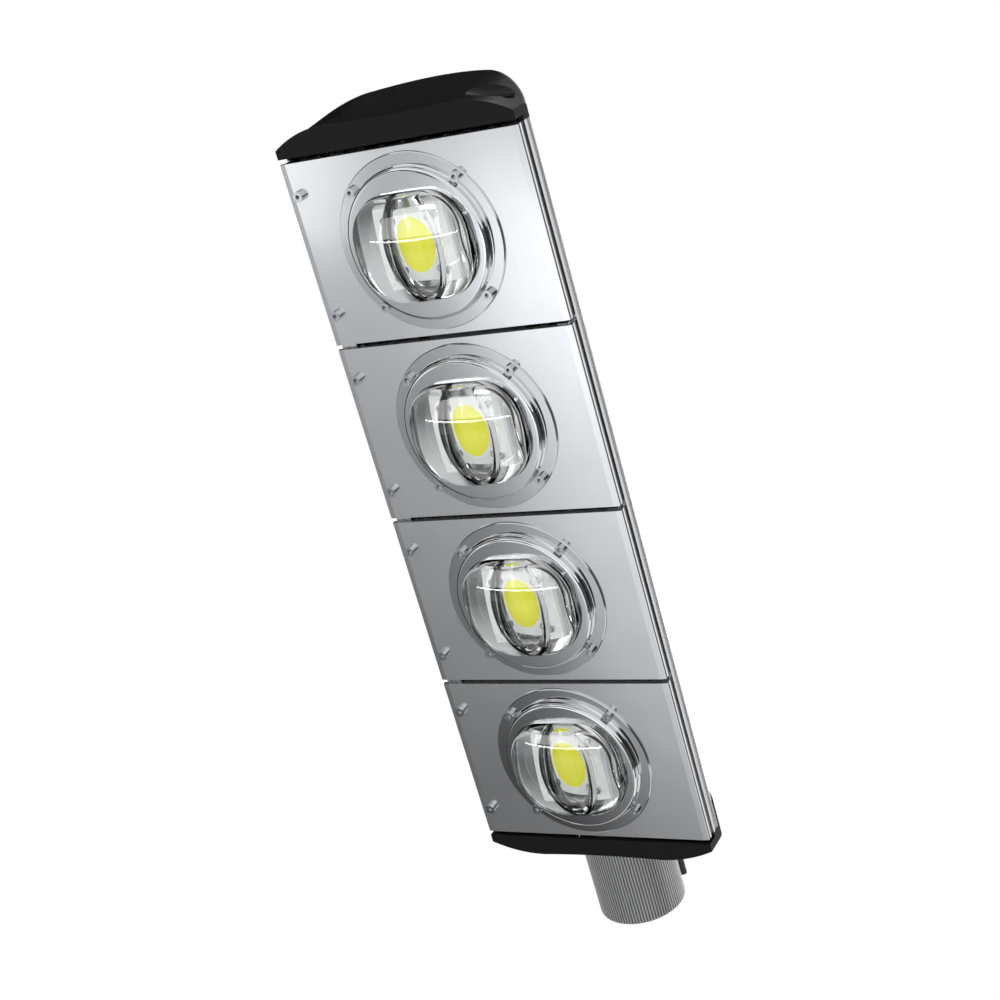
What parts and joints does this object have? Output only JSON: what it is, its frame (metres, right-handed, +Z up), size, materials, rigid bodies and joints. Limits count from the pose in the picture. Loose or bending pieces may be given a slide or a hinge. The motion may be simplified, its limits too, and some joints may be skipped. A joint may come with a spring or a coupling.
{
  "type": "led street light",
  "caption": "Street light head: a row of glass lens modules on a finned aluminium body with black end caps and a ribbed socket that slides over a lamp arm.",
  "frame": {"origin": "centre of the arm socket's mouth, on the socket's axis", "axes": "+X from the socket's mouth to the far end, +Y across, +Z up; the light shines towards -Z"},
  "size_m": [0.629, 0.18, 0.107],
  "materials": {
    "body_aluminium": "satin extruded",
    "plate_aluminium": "satin anodised",
    "ring_aluminium": "bright, collar polished",
    "lens_glass": "clear pressed glass",
    "seal_rubber": "matt",
    "board_white": "white solder mask",
    "light_yellow": "unlit phosphor",
    "screw_steel": "zinc plated",
    "cap_plastic": "satin black moulding",
    "spigot_aluminium": "finely ribbed",
    "sleeve_rubber": "matt",
    "driver_case": "plain",
    "terminal_plastic": "plain"
  },
  "bodies": {
    "root": {"heat_sink_body": "body_aluminium", "module_plate_1": "plate_aluminium", "module_plate_2": "plate_aluminium", "module_plate_3": "plate_aluminium", "module_plate_4": "plate_aluminium", "clamp_ring_1": "ring_aluminium", "clamp_ring_2": "ring_aluminium", "clamp_ring_3": "ring_aluminium", "clamp_ring_4": "ring_aluminium", "lens_1": "lens_glass", "lens_2": "lens_glass", "lens_3": "lens_glass", "lens_4": "lens_glass", "lens_gasket_1": "seal_rubber", "lens_gasket_2": "seal_rubber", "lens_gasket_3": "seal_rubber", "lens_gasket_4": "seal_rubber", "light_board_1": "board_white", "light_board_2": "board_white", "light_board_3": "board_white", "light_board_4": "board_white", "light_disc_1": "light_yellow", "light_disc_2": "light_yellow", "light_disc_3": "light_yellow", "light_disc_4": "light_yellow", "ring_screws_1": "screw_steel", "plate_screws_1": "screw_steel", "board_screws_1": "screw_steel", "ring_screws_2": "screw_steel", "plate_screws_2": "screw_steel", "board_screws_2": "screw_steel", "ring_screws_3": "screw_steel", "plate_screws_3": "screw_steel", "board_screws_3": "screw_steel", "ring_screws_4": "screw_steel", "plate_screws_4": "screw_steel", "board_screws_4": "screw_steel", "front_cap_screws": "screw_steel", "rear_cap_screws": "screw_steel", "end_plate_screws": "screw_steel", "spigot_screws": "screw_steel", "arm_bolts": "screw_steel", "driver_screws": "screw_steel", "front_cap": "cap_plastic", "rear_cap": "cap_plastic", "spigot": "spigot_aluminium", "end_plate": "spigot_aluminium", "cable_sleeve": "sleeve_rubber", "led_driver_1": "driver_case", "led_driver_2": "driver_case", "terminal_block": "terminal_plastic"}
  },
  "joints": []
}
